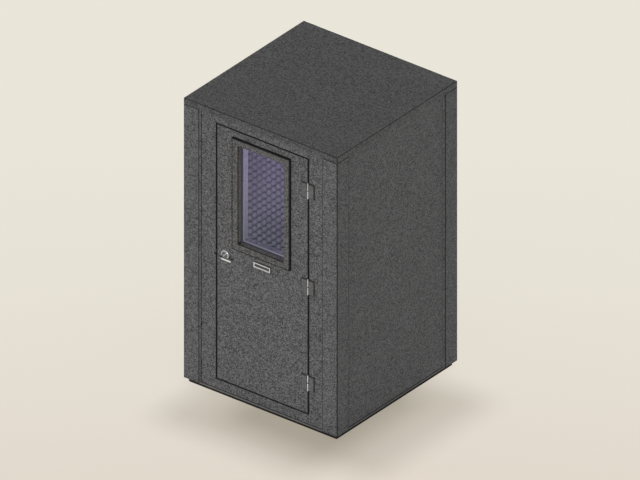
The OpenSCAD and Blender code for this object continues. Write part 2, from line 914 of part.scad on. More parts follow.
module window_frame_inner() {
    color(carpet_colour) translate([0, door_inner_y, window_z])
        mirror([0, 1, 0]) window_frame(window_inner_proud);
}

module pane(y) {
    half_w = cutout_w / 2 - pane_gap;
    half_h = cutout_h / 2 - pane_gap;
    color("lavender", 0.4) in_window() box([-half_w, y, -half_h], [half_w, y + pane_t, half_h]);
}

module pane_ring(y0, y1) {
    in_window() ring_y(cutout_w - 2 * pane_gap, cutout_h - 2 * pane_gap, window_w, window_h, y0, y1);
}

module glazing_spacer() {
    color(metal) pane_ring(pane_outer_y + pane_t, pane_inner_y);
}

module glazing_gaskets() {
    color(dark) {
        pane_ring(pane_outer_y - pane_gasket_t, pane_outer_y);
        pane_ring(pane_inner_y + pane_t, pane_inner_y + pane_t + pane_gasket_t);
    }
}

module name_plate() {
    color(metal) translate([0, front_y, frame_z0 - plate_gap - plate_h / 2]) difference() {
        box([-plate_w / 2, -plate_t, -plate_h / 2], [plate_w / 2, 0, plate_h / 2]);
        box([-plate_w / 2 + plate_border, -plate_t - over, -plate_h / 2 + plate_border],
            [plate_w / 2 - plate_border, -plate_t + plate_sink, plate_h / 2 - plate_border]);
    }
}

// Round rose on the door's face at y = 0, towards -Y
module rose() {
    color(metal) rotate([90, 0, 0]) rotate_extrude() difference() {
        union() {
            square([rose_d / 2, rose_t / 2]);
            square([rose_d / 2 - rose_t / 2, rose_t]);
            translate([rose_d / 2 - rose_t / 2, rose_t / 2]) circle(r = rose_t / 2);
        }
        translate([0, -over]) square([neck_r + run, rose_t + 2 * over]);
        translate([0, -rose_t]) square([rose_d, rose_t]);
        translate([0, rose_t - rose_dish]) square([rose_d / 2 - rose_rim, rose_dish + over]);
    }
}

module rose_outer() {
    at_handle() translate([0, front_y, 0]) rose();
}

module rose_inner() {
    at_handle() translate([0, door_inner_y, 0]) mirror([0, 1, 0]) rose();
}

// Lever with its neck's end on the door's face at y = 0, its bar towards +X
module lever() {
    bar_r = lever_bar_h / 2;
    color(metal) difference() {
        union() {
            bar_y(neck_r, -lever_proud + lever_bar_t / 2, 0);
            translate([0, -lever_proud + lever_bar_t, 0]) rotate([90, 0, 0]) linear_extrude(lever_bar_t) {
                circle(r = bar_r);
                translate([0, -bar_r]) square([lever_l - bar_r, lever_bar_h]);
                translate([lever_l - bar_r, 0]) circle(r = bar_r);
            }
        }
        box([-socket_s / 2, -socket_l - fit, -socket_s / 2], [socket_s / 2, over, socket_s / 2]);
    }
}

module lever_outer() {
    at_handle() translate([0, front_y, 0]) lever();
}

module lever_inner() {
    at_handle() translate([0, door_inner_y, 0]) mirror([0, 1, 0]) lever();
}

// Square spindle with the cam that draws the bolt back
module spindle() {
    cam_y = latch_y - cam_t + tail_t / 2;
    half = spindle_s / 2;
    color(metal) at_handle() {
        box([-half, front_y - socket_l, -half], [half, door_inner_y + socket_l, half]);
        bar_y(hub_disc_r, cam_y - cam_t / 2, cam_y + cam_t / 2);
        rotate([0, -lever_turn / 2, 0]) {
            box([-cam_pin_r - over, cam_y - cam_t / 2, 0], [cam_pin_r + over, cam_y + cam_t / 2, cam_r]);
            translate([0, 0, cam_r]) bar_y(cam_pin_r + over, cam_y - cam_t / 2, cam_y + cam_t / 2);
            translate([0, 0, cam_r]) bar_y(cam_pin_r, cam_y, latch_y + tail_t);
        }
    }
}

module latch_case() {
    color("dimgray") at_handle() difference() {
        union() {
            box([-backset, latch_y - case_t / 2, -case_h / 2],
                [-backset + latch_case_l, latch_y + case_t / 2, case_h / 2]);
            box([-backset, latch_y - faceplate_w / 2, -faceplate_h / 2],
                [-backset + faceplate_t, latch_y + faceplate_w / 2, faceplate_h / 2]);
        }
        box([-backset - over, latch_y - bolt_t / 2 - slide, -bolt_h / 2 - slide],
            [-backset + latch_case_l + over, latch_y + bolt_t / 2 + slide, bolt_h / 2 + slide]);
    }
}

// Bevelled bolt with a flat tail that the cam's pin holds in a slot
module latch_bolt() {
    nose_x = -backset - bolt_travel;
    pin_x = -cam_r * sin(lever_turn / 2);
    slot = cam_pin_r + slide;
    color(metal) at_handle() {
        translate([0, 0, -bolt_h / 2]) linear_extrude(bolt_h)
            polygon([
                [nose_x, latch_y - bolt_t / 2], [-backset + bolt_seat, latch_y - bolt_t / 2],
                [-backset + bolt_seat, latch_y + bolt_t / 2], [-backset, latch_y + bolt_t / 2]
            ]);
        translate([0, latch_y + tail_t / 2, 0]) rotate([90, 0, 0]) linear_extrude(tail_t) difference() {
            polygon([
                [-backset + bolt_seat - over, -tail_low], [-tail_back - tail_rise, -tail_low],
                [-tail_back, tail_rise], [pin_x + tail_rise, tail_rise],
                [pin_x + tail_rise, tail_top], [-tail_front, tail_top],
                [-tail_back - tail_rise, tail_low], [-backset + bolt_seat - over, tail_low]
            ]);
            translate([pin_x - slot, cam_r * cos(lever_turn / 2) - slot])
                square([2 * slot, cam_r * (1 - cos(lever_turn / 2)) + 2 * slot]);
        }
    }
}

isolation_pads();
floor_base();
floor_carpet();
floor_gasket();
roof_gasket();
wall_left_shell();
wall_right_shell();
wall_back_shell();
wall_back_frame();
wall_left_liner();
wall_right_liner();
wall_back_liner();
wall_cores();
front_wall();
door_jamb();
door_stop();
door_seal();
threshold();
strike_plate();
ceiling_panel();
roof_cap();
corner_trim_front_left();
corner_trim_front_right();
corner_trim_back_left();
corner_trim_back_right();
foam_left();
foam_right();
foam_back();
foam_ceiling();
leaf(hinge_z[0], 1, 0);  // hinge_frame_leaf_lower
leaf(hinge_z[1], 1, 0);  // hinge_frame_leaf_middle
leaf(hinge_z[2], 1, 0);  // hinge_frame_leaf_upper
hinge_pins();
sleeve(intake_z);  // intake_sleeve
sleeve(exhaust_z);  // exhaust_sleeve
grille(intake_z);  // intake_grille
grille(exhaust_z);  // exhaust_grille
fan_frame();
cable_bushing();
door_slab();
window_frame_outer();
window_frame_inner();
pane(pane_outer_y);  // glass_outer
pane(pane_inner_y);  // glass_inner
glazing_spacer();
glazing_gaskets();
name_plate();
leaf(hinge_z[0], -1, 1);  // hinge_door_leaf_lower
leaf(hinge_z[1], -1, 1);  // hinge_door_leaf_middle
leaf(hinge_z[2], -1, 1);  // hinge_door_leaf_upper
latch_case();
rose_outer();
rose_inner();
foam_door();
door_sweep();
lever_outer();
lever_inner();
spindle();
latch_bolt();
fan_rotor();
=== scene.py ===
"""Looks for the vocal booth: carpeted shell, glazed door, pyramid foam, metalwork, light and floor.

Lengths are metres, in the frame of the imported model: +X hinge side, -Y door side, +Z up.
"""

import json
import math
import random

import bmesh
import bpy
from mathutils import Matrix, Vector


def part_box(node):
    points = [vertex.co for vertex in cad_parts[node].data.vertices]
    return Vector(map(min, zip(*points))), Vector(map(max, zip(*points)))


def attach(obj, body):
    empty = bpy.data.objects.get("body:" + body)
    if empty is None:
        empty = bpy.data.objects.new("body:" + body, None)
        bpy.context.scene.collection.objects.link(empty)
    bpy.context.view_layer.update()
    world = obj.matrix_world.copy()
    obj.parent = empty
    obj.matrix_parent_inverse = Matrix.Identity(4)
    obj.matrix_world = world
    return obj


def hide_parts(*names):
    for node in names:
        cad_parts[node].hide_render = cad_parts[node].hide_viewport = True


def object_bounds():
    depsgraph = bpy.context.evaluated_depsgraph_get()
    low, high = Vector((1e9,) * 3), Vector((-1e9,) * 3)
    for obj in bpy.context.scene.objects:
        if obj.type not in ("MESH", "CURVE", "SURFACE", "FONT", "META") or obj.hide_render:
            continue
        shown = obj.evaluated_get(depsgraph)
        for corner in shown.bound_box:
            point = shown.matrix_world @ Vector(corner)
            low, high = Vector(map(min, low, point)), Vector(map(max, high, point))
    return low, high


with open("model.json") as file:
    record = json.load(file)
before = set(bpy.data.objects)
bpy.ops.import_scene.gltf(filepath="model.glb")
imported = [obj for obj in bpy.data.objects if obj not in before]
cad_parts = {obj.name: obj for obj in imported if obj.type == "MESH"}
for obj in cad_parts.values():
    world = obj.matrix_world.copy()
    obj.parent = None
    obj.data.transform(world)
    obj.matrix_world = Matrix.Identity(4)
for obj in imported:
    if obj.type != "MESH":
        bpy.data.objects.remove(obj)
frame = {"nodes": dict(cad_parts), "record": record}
cad_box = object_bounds()
nodes = frame["nodes"]

# Camera, a parallel view as in the photograph
AZIMUTH = math.radians(38.03)
ELEVATION = math.radians(30.17)
VIEW_WIDTH = 4.168
AIM_RIGHT = -0.0034
AIM_UP = -0.0558
CAMERA_BACK = 9.0
CLIP_END = 60.0

# Foam: the cell and its heights, then the pyramid's shape in shares of its height or half width
PITCH = 0.0508
FOAM_BASE = 0.017
PYRAMID = 0.0338
CELL_STEPS = 6
CORNER_POWER = 5
BLUNT = 0.10
BLUNT_SLOPE = 0.55
FOOT = 0.10
LOWEST_PEAK = 0.955
LEAN = 0.04
VENT_COLUMNS = range(7, 11)
VENT_ROWS = 4

# Screw head from its edge to the middle of its socket: radius and height as shares of the
# head's radius, and whether the ring is hexagonal
SCREW_SIDES = 24
SCREW_RADIUS = 0.0042
SCREW_PROFILE = (
    (1.00, 0.00, False),
    (1.00, 0.07, False),
    (0.93, 0.15, False),
    (0.72, 0.23, False),
    (0.52, 0.25, False),
    (0.36, 0.25, True),
    (0.34, 0.06, True),
)
# Screws of a hinge leaf: distance from the hinge axis, and height over the leaf's middle
LEAF_SCREWS = (0.024, 0.040), (0.042, 0.0), (0.024, -0.040)
FLANGE_MARGIN = 0.0115

# Light: the length of each direction is what it gives a white face square to it
WORLD = 0.30
WORLD_SEEN = (0.79, 0.78, 0.70)
KEY = (0.281, -0.634, 0.213)
KEY_ANGLE = 20
FILL = (-0.25, 0.30, 0.04)
FILL_ANGLE = 60
CABIN_SUN = (0.26, -0.40, 0.50)
CABIN_SUN_ANGLE = 5
CABIN_LAMP = (0.25, -0.05, 1.45)
CABIN_LAMP_POWER = 9.5
CABIN_LAMP_RADIUS = 0.15
CABIN_LAMP_COLOUR = (1.0, 0.97, 1.0)
FLOOR_SUNS = (-0.157, 0.079, 0.71), (-0.041, 0.160, 0.71)
FLOOR_SUN_ANGLE = 9
FLOOR_SUN_COLOUR = (1.0, 0.93, 0.88)
FLOOR_REACH = 30.0
FLOOR_ALBEDO = 0.25
FLOOR_FRONT = (0.309, 0.2475, 0.187)
FLOOR_MIDDLE = (0.373, 0.3555, 0.286)
FLOOR_BEHIND = (0.389, 0.3815, 0.311)

# Tones
CHARCOAL = (0.1042, 0.105, 0.1065)
PILE = (0.0972, 0.098, 0.0995)
# The roof's pile: a darker copy of the walls' pile, as painted shade on the roof
ROOF_PILE_SHADED = (0.0875, 0.0865, 0.0875)
BLACK = (0.010, 0.010, 0.010)
# The colour of the painted shade lines
SEAM_SHADE = (0.012, 0.012, 0.012)
# How dark a painted shade line is, and the share of its width before it fades
SEAM_SHADE_DEPTH = 0.92
SEAM_SHADE_CORE = 0.6

# How square to an axis a face is when it starts to count as facing it, and when it does fully
SQUARE = (0.55, 0.75)
# The span that most values of a noise lie in
NOISE_SPAN = (0.3, 0.7)

# Places
FRONT_Y = -0.615
FLANGE_Y = 0.619
GRILLE_Y = 0.507
HINGE_X = 0.3795
# Middle of the knuckle's bare stripe, off the axis where its highlight shows: a painted highlight
KNUCKLE_X = HINGE_X + 0.0058
LEAF = 0.0032
LEAF_Y = FRONT_Y - LEAF
ROSE_X = -0.305
ROSE_Z = 1.071
ROSE_DISH = (0.0228, 0.0242)
PLATE_BORDER = 0.0085
INNER_LIP_Y = (-0.565, -0.563)
INNER_SILL_Y = (-0.556, -0.552)
SPACER_LIP_Y = (-0.5735, -0.5725)
WINDOW_Z = (1.2, 1.9)
GLASS_Z = (1.15, 1.95)
FOAM_Z = (1.0, 1.9)
OPENING = (-0.2, -0.7, 1.16), (0.2, -0.4, 1.97)
LEVER_ROOT = (-0.33, -0.70, 0.9), (-0.293, -0.655, 1.2)
TRIM_STEP = (-0.5095, -0.6295, 0.0), (-0.507, -0.615, 2.3)

# Painted shade along edges, joints and gaps: two corners of a box and the width of the dark line
# along its edges. A box of no width is dark all over.
SIDE_SEAM_SHADES = (-0.615, -0.508, 0.041), (0.615, 0.508, 2.3), 0.0012
ROOF_SEAM_SHADES = (-0.635, -0.635, 1.5), (0.635, 0.635, 2.143), 0.005
FRONT_SEAM_SHADES = (-0.508, -0.615, 0.0), (0.508, 1.0, 2.3), 0.007
DOORWAY_SEAM_SHADES = (-0.382, -0.615, 0.111), (0.382, -0.3, 2.036), 0.0045
OPENING_SEAM_SHADE = (-0.190, -0.635, 1.195), (0.190, -0.4, 1.935), 0.013
HINGE_SIDE_SHADE = (0.382, -0.616, 0.111), (0.3895, -0.614, 2.036), 0.0
LATCH_SIDE_SHADE = (-0.378, -0.616, 0.116), (-0.3705, -0.614, 2.031), 0.0
STRIKE_SHADE = (-0.397, -0.616, 1.043), (-0.382, -0.614, 1.061), 0.0
PLATE_TOP_SHADE = (-0.067, -0.616, 1.102), (0.0745, -0.614, 1.1070), 0.0
PLATE_SIDE_SHADE = (0.069, -0.616, 1.060), (0.0745, -0.614, 1.1070), 0.0
# Painted shade along the front right trim's edges where it meets the walls, as that trim casts no
# shadow from the key light
TRIM_FRONT_EDGE_SHADE = (0.507, -0.637, 0.030), (0.5135, -0.630, 2.098), 0.0
TRIM_SIDE_EDGE_SHADE = (0.629, -0.5148, 0.030), (0.637, -0.506, 2.098), 0.0
# Widths of the painted shade lines along a hinge leaf's top and right edges, then its left and
# bottom edges
LEAF_HIGH_RIM_SHADE = 0.0160
LEAF_LOW_RIM_SHADE = 0.003

# Each corner trim: the width of the painted shade line along its edges, its other painted shade
# lines, and how much painted light lifts its step
TRIMS = {
    "front_left": (0.0063, (), 2.6),
    "front_right": (0.0070, (TRIM_FRONT_EDGE_SHADE, TRIM_SIDE_EDGE_SHADE), 1.0),
    "back_left": (0.0065, (), 1.0),
    "back_right": (0.0075, (), 1.0),
}
HINGE_LEVELS = ("lower", "middle", "upper")
HINGE_PARTS = ("hinge_frame_leaf_", "hinge_door_leaf_")


def rgba(colour):
    """A socket as it is, or three numbers as an opaque colour."""
    return colour if isinstance(colour, bpy.types.NodeSocket) else (*colour, 1.0)


class Tree:
    """A material's node tree, with one short call for each kind of node."""

    def __init__(self, name):
        self.material = bpy.data.materials.new(name)
        self.material.use_nodes = True
        self.tree = self.material.node_tree
        self.tree.nodes.clear()
        self.place = self.add("ShaderNodeTexCoord").outputs["Object"]

    def add(self, kind, inputs=None, **settings):
        node = self.tree.nodes.new(kind)
        for key, value in settings.items():
            setattr(node, key, value)
        for key, value in (inputs or {}).items():
            if isinstance(value, bpy.types.NodeSocket):
                self.tree.links.new(value, node.inputs[key])
            else:
                node.inputs[key].default_value = value
        return node

    def math(self, operation, a, b=0.0, c=0.0, clamp=False):
        inputs = {0: a, 1: b, 2: c}
        return self.add("ShaderNodeMath", inputs, operation=operation, use_clamp=clamp).outputs[0]

    def product(self, value, *others):
        for other in others:
            value = self.math("MULTIPLY", value, other)
        return value

    def vector(self, operation, a, b=(0.0, 0.0, 0.0)):
        return self.add("ShaderNodeVectorMath", {0: a, 1: b}, operation=operation).outputs[0]

    def parts(self, vector):
        return self.add("ShaderNodeSeparateXYZ", {0: vector}).outputs

    def axis(self, number):
        return self.parts(self.place)[number]

    def off(self, number, middle):
        """The distance from middle along one axis."""
        return self.math("ABSOLUTE", self.math("SUBTRACT", self.axis(number), middle))

    def stretched(self, scale):
        return self.add("ShaderNodeMapping", {"Vector": self.place, "Scale": scale}).outputs[0]

    def noise(self, size, detail=3.0, place=None):
        """A value about 0.5 whose features are about size across."""
        wanted = {"Vector": place or self.place, "Scale": 1 / size, "Detail": detail}
        return self.add("ShaderNodeTexNoise", wanted).outputs["Fac"]

    def lines(self, stretch, detail=4.0):
        """Noise drawn out along the axis whose stretch is least."""
        return self.noise(1.0, detail, self.stretched(stretch))

    def cells(self, size):
        return self.add("ShaderNodeTexVoronoi", {"Vector": self.place, "Scale": 1 / size}).outputs

    def grains(self, size):
        """A random value from 0 to 1, the same all over each grain."""
        colour = self.cells(size)["Color"]
        return self.add("ShaderNodeSeparateColor", {"Color": colour}).outputs[0]

    def hollows(self, size):
        """The distance from the middle of each grain, 0 at the middle."""
        return self.cells(size)["Distance"]

    def spread(self, value, low, high, out_low, out_high):
        """value from low..high, moved to out_low..out_high and kept inside it."""
        wanted = {"Value": value, "From Min": low, "From Max": high}
        wanted.update({"To Min": out_low, "To Max": out_high})
        return self.add("ShaderNodeMapRange", wanted).outputs[0]

    def varied(self, noise, low, high):
        """A noise, moved to low..high."""
        return self.spread(noise, *NOISE_SPAN, low, high)

    def climb(self, low, high):
        """0 up to the height low, and 1 from the height high."""
        return self.spread(self.axis(2), low, high, 0.0, 1.0)

    def facing(self, number, away=0.0, square=1.0):
        """square on faces square to one axis, either way round, and away on faces along it."""
        normal = self.add("ShaderNodeTexCoord").outputs["Normal"]
        part = self.math("ABSOLUTE", self.parts(normal)[number])
        return self.spread(part, *SQUARE, away, square)

    def past(self, low, high):
        """How far the place is outside the box on each axis, less than 0 inside."""
        centre = [(a + b) / 2 for a, b in zip(low, high)]
        half = [(b - a) / 2 for a, b in zip(low, high)]
        from_centre = self.vector("ABSOLUTE", self.vector("SUBTRACT", self.place, centre))
        return self.vector("SUBTRACT", from_centre, half)

    def greatest(self, values):
        x, y, z = values
        return self.math("MAXIMUM", self.math("MAXIMUM", x, y), z)

    def within(self, low, high):
        """1 inside the box from low to high, and 0 outside it."""
        return self.math("LESS_THAN", self.greatest(self.parts(self.past(low, high))), 0.0)

    def seam(self, low, high, width):
        """1 within width of an edge of the box from low to high, and 0 elsewhere."""
        past = self.past(low, high)
        beyond = self.greatest(self.parts(past))
        x, y, z = self.parts(self.vector("ABSOLUTE", past))
        least = self.math("MINIMUM", x, y)
        most = self.math("MAXIMUM", x, y)
        second = self.math("MAXIMUM", least, self.math("MINIMUM", most, z))
        distance = self.math("MAXIMUM", second, beyond)
        return self.spread(distance, SEAM_SHADE_CORE * width, width, 1.0, 0.0)

    def mix(self, share, a, b, blend="MIX"):
        """a where share is 0, and b where it is 1."""
        inputs = {0: share, 6: rgba(a), 7: rgba(b)}
        return self.add("ShaderNodeMix", inputs, data_type="RGBA", blend_type=blend).outputs[2]

    def scaled(self, colour, value):
        """colour times value."""
        grey = self.add("ShaderNodeCombineColor", {0: value, 1: value, 2: value}).outputs[0]
        return self.mix(1.0, colour, grey, "MULTIPLY")

    def bump(self, height, depth, strength=1.0):
        wanted = {"Height": height, "Distance": depth, "Strength": strength}
        return self.add("ShaderNodeBump", wanted).outputs[0]

    def finish(self, shader):
        self.add("ShaderNodeOutputMaterial", {"Surface": shader})
        return self.material

    def principled(self, **inputs):
        """The finished material, with a principled shader of these inputs."""
        named = {key.replace("_", " "): value for key, value in inputs.items()}
        return self.finish(self.add("ShaderNodeBsdfPrincipled", named).outputs[0])


def carpet_parts(look, tone, contrast=1.35):
    """Colour and normal of short charcoal pile: grains of light and dark yarn, mottled a little."""
    value = look.product(
        look.math("MULTIPLY_ADD", look.grains(0.0065), contrast, 1.0 - contrast / 2),
        look.spread(look.grains(0.0027), 0.0, 1.0, 0.70, 1.30),
        look.varied(look.noise(0.045, 2.0), 0.94, 1.06),
        look.varied(look.noise(0.5, 2.0), 0.97, 1.03),
    )
    pile = look.math("ADD", look.hollows(0.0024), look.noise(0.004, 4.0))
    return look.scaled(tone, value), look.bump(pile, 0.0012, 0.7)


def with_seam_shade(look, colour, seam_shades):
    """colour with painted shade: a dark line along the edges of each box, or all over a box of no
    width.
    """
    for low, high, width in seam_shades:
        dark = look.seam(low, high, width) if width else look.within(low, high)
        colour = look.mix(look.math("MULTIPLY", dark, SEAM_SHADE_DEPTH), colour, SEAM_SHADE)
    return colour


def carpet(name, tone=CHARCOAL, seam_shades=(), front=1.0, step_light=1.0):
    """Carpet with dark lines of painted shade. front is painted shade: how dark the pile is on
    faces to the front and back, against the rest, and the last argument is painted light: how pale
    the pile is on a trim's step beside the front wall."""
    look = Tree(name)
    colour, normal = carpet_parts(look, tone)
    # Painted shade: the pile darker on faces to the front and back, by front
    colour = look.scaled(colour, look.facing(1, 1.0, front))
    # Painted light: the trim's step, which lies in shade beside the front wall, made paler
    if step_light != 1.0:
        colour = look.mix(look.within(*TRIM_STEP), colour, look.scaled(colour, step_light))
    return look.principled(
        Base_Color=with_seam_shade(look, colour, seam_shades),
        Roughness=0.96,
        Specular_IOR_Level=0.15,
        Sheen_Weight=0.08,
        Sheen_Roughness=0.6,
        Normal=normal,
    )


def painted(look, tone):
    """The colour of brushed dark paint."""
    return look.scaled(tone, look.varied(look.noise(0.012, 5.0), 0.8, 1.25))


def paint(name, tone):
    look = Tree(name)
    return look.principled(
        Base_Color=painted(look, tone),
        Roughness=look.varied(look.noise(0.03, 4.0), 0.45, 0.65),
        Normal=look.bump(look.noise(0.003, 4.0), 0.0003, 0.5),
    )


def faced_carpet(name, tone, seam_shades=(), keep=None):
    """Carpet on the front and back, and black paint on the board's edges, standing in for their
    shade.
    keep is a box in which the edges are carpeted too, in a pile darkened as painted shade, most on
    the upright ones, with a dark line of painted shade along the window opening's edges."""
    look = Tree(name)
    colour, normal = carpet_parts(look, tone)
    # Painted shade: black on the board's edges
    edge = painted(look, BLACK)
    if keep:
        reveal = look.mix(0.3, colour, (0.100, 0.099, 0.050))
        # Painted shade: the reveal darker, most on its upright faces
        reveal = look.scaled(reveal, look.facing(2, 0.80, 0.92))
        edge = look.mix(look.within(*keep), edge, reveal)
        edge = with_seam_shade(look, edge, [OPENING_SEAM_SHADE])
    return look.principled(
        Base_Color=look.mix(look.facing(1), edge, with_seam_shade(look, colour, seam_shades)),
        Roughness=0.95,
        Specular_IOR_Level=0.15,
        Normal=normal,
    )


def base_look(name):
    """Carpet of little contrast, with dark lines of painted shade at the foot and head of the base.
    """
    look = Tree(name)
    colour, normal = carpet_parts(look, (0.137, 0.133, 0.130), 0.5)
    bottom, top = (corner[2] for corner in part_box("floor_base"))
    # Painted shade: a dark line at the foot, by the floor, and at the head, under the walls
    foot = look.spread(look.axis(2), bottom + 0.014, bottom + 0.016, 1.0, 0.0)
    head = look.climb(top - 0.008, top - 0.006)
    return look.principled(
        Base_Color=look.mix(look.math("MAXIMUM", foot, head), colour, BLACK),
        Roughness=0.95,
        Specular_IOR_Level=0.2,
        Normal=normal,
    )


def brushed(name, tone, stretch, rough=(0.22, 0.38), rim=None, darkened_box=None):
    """Metal brushed along the axis whose stretch is least. rim is a box whose edges show a dark
    line of painted shade, with its width, and the last argument a box in which the metal is darker."""
    look = Tree(name)
    lines = look.lines(stretch)
    colour = look.scaled(tone, look.varied(lines, 0.86, 1.08))
    if darkened_box:
        colour = look.mix(look.within(*darkened_box), colour, look.scaled(colour, 0.36))
    # Painted shade: a dark line along the rim box's edges
    if rim:
        colour = look.mix(look.seam(*rim), colour, SEAM_SHADE)
    smudge = look.varied(look.noise(0.02, 3.0), 0.85, 1.2)
    return look.principled(
        Base_Color=colour,
        Metallic=1.0,
        Roughness=look.product(look.varied(lines, *rough), smudge),
        Normal=look.bump(lines, 0.0001, 0.35),
    )


def rose_metal(name):
    """Satin rose: a bright rim round a darker dished middle."""
    look = Tree(name)
    squares = [look.math("POWER", look.off(*at), 2.0) for at in ((0, ROSE_X), (2, ROSE_Z))]
    radius = look.math("SQRT", look.math("ADD", *squares))
    middle = look.spread(radius, *ROSE_DISH, 1.0, 0.0)
    lines = look.lines((500.0, 20.0, 60.0))
    rim = look.scaled((0.60, 0.61, 0.63), look.varied(lines, 0.88, 1.06))
    return look.principled(
        Base_Color=look.mix(middle, rim, (0.17, 0.178, 0.19)),
        Metallic=1.0,
        Roughness=look.varied(lines, 0.26, 0.40),
        Normal=look.bump(lines, 0.0001, 0.3),
    )


def hinge_metal(name, low, high):
    """A hinge leaf in textured charcoal paint, with painted shade: a dark line along its rim,
    widest at the top and right, and black on its sides. Its knuckle is bare metal only in a stripe
    on the +X side of the axis, where its highlight shows, as a painted highlight, on both sides of
    a dark joint at mid-height."""
    look = Tree(name)
    colour, normal = carpet_parts(look, (0.099, 0.098, 0.099), 0.7)
    # Painted shade: dark lines along the leaf's edges
    high_rim = (-1.0, LEAF_Y, -1.0), (high[0], 1.0, high[2]), LEAF_HIGH_RIM_SHADE
    low_rim = (low[0], LEAF_Y, low[2]), (1.0, 1.0, 3.0), LEAF_LOW_RIM_SHADE
    for rim in (high_rim, low_rim):
        colour = look.mix(look.seam(*rim), colour, SEAM_SHADE)
    # Painted shade: black on the leaf's sides
    colour = look.mix(look.facing(1), BLACK, colour)
    joint = (low[2] + high[2]) / 2
    # Bare metal on the knuckle, kept to the stripe where its highlight shows: a painted highlight
    knuckle = look.product(
        look.spread(look.off(0, KNUCKLE_X), 0.0032, 0.0038, 1.0, 0.0),
        look.spread(look.axis(1), LEAF_Y - 0.0006, LEAF_Y - 0.0002, 1.0, 0.0),
        look.spread(look.off(2, joint), 0.0026, 0.0034, 0.0, 1.0),
    )
    bare = look.scaled((0.74, 0.78, 0.85), look.varied(look.lines((40.0, 40.0, 900.0)), 0.85, 1.1))
    return look.principled(
        Base_Color=look.mix(knuckle, colour, bare),
        Metallic=knuckle,
        Roughness=look.spread(knuckle, 0.0, 1.0, 0.8, 0.4),
        Normal=normal,
    )


def plate_metal(name):
    """A silver border round a bare dark field, with its edges dark as painted shade."""
    look = Tree(name)
    low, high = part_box("name_plate")
    inner_low = (low[0] + PLATE_BORDER, -1.0, low[2] + PLATE_BORDER)
    inner_high = (high[0] - PLATE_BORDER, 1.0, high[2] - PLATE_BORDER)
    depth = look.within(inner_low, inner_high)
    front = look.facing(1)
    lines = look.lines((30.0, 300.0, 900.0))
    silver = look.scaled((0.82, 0.86, 0.94), look.varied(lines, 0.85, 1.1))
    field = look.scaled((0.045, 0.045, 0.048), look.varied(look.noise(0.01), 0.8, 1.2))
    return look.principled(
        # Painted shade: the plate's sides near black
        Base_Color=look.mix(front, (0.02, 0.02, 0.021), look.mix(depth, silver, field)),
        Metallic=look.product(look.math("SUBTRACT", 1.0, depth), front),
        Roughness=look.varied(lines, 0.3, 0.45),
        Normal=look.bump(lines, 0.0001, 0.3),
    )


def foam(name):
    """Open foam, with painted shade in the valleys and where two rows meet and a painted highlight
    on the tips, violet towards the top.
    """
    look = Tree(name)
    height, row = (
        look.add("ShaderNodeAttribute", attribute_name=measure).outputs["Fac"]
        for measure in ("height", "row")
    )
    # Painted shade and highlight: darker in the valleys and row lines, paler on the tips
    value = look.product(
        look.spread(height, 0.1, 1.0, 0.94, 1.12),
        look.spread(row, 0.0, 0.4, 0.67, 1.0),
        look.spread(look.grains(0.0016), 0.0, 1.0, 0.86, 1.14),
        look.varied(look.noise(0.3, 2.0), 0.94, 1.06),
    )
    tone = look.mix(look.climb(*FOAM_Z), (0.156, 0.161, 0.169), (0.131, 0.127, 0.155))
    return look.principled(
        Base_Color=look.scaled(tone, value),
        Roughness=0.95,
        Specular_IOR_Level=0.1,
        Sheen_Weight=0.15,
        Normal=look.bump(look.hollows(0.0015), 0.0006, 0.6),
    )


def rubber(name):
    look = Tree(name)
    dust = look.spread(look.noise(0.02, 4.0), 0.45, 0.75, 0.0, 1.0)
    return look.principled(
        Base_Color=look.mix(dust, (0.012, 0.012, 0.013), (0.030, 0.029, 0.028)),
        Roughness=0.72,
        Normal=look.bump(look.noise(0.0015, 3.0), 0.0002, 0.5),
    )


def timber(name, light, dark):
    """Sawn softwood with upright grain."""
    look = Tree(name)
    rings = look.spread(look.lines((26.0, 26.0, 1.6), 6.0), 0.38, 0.62, 0.0, 1.0)
    pores = look.lines((240.0, 240.0, 9.0), 3.0)
    return look.principled(
        Base_Color=look.scaled(look.mix(rings, light, dark), look.varied(pores, 0.88, 1.1)),
        Roughness=0.7,
        Normal=look.bump(pores, 0.0004, 0.5),
    )


def wool(name):
    look = Tree(name)
    fibres = look.lines((60.0, 60.0, 500.0), 6.0)
    return look.principled(
        Base_Color=look.mix(look.varied(fibres, 0.0, 1.0), (0.36, 0.30, 0.16), (0.60, 0.52, 0.30)),
        Roughness=0.98,
        Normal=look.bump(fibres, 0.003, 0.8),
    )


def plastic(name, tone):
    look = Tree(name)
    return look.principled(
        Base_Color=look.scaled(tone, look.varied(look.noise(0.05, 3.0), 0.9, 1.1)),
        Roughness=look.varied(look.noise(0.02, 3.0), 0.38, 0.52),
        Normal=look.bump(look.grains(0.0009), 0.0001, 0.4),
    )


def window_glass(name):
    """Thin violet glass: tinted see-through, with a weak reflection."""
    look = Tree(name)
    tint = look.mix(look.climb(*GLASS_Z), (0.93, 0.935, 0.985), (0.95, 0.925, 0.995))
    clear = look.add("ShaderNodeBsdfTransparent", {"Color": tint}).outputs[0]
    smear = look.varied(look.noise(0.08, 4.0), 0.02, 0.07)
    mirrored = {"Color": rgba((0.62, 0.60, 0.78)), "Roughness": smear}
    shine = look.add("ShaderNodeBsdfGlossy", mirrored).outputs[0]
    share = look.add("ShaderNodeFresnel", {"IOR": 1.16}).outputs[0]
    both = look.add("ShaderNodeMixShader", {0: share, 1: clear, 2: shine})
    return look.finish(both.outputs[0])


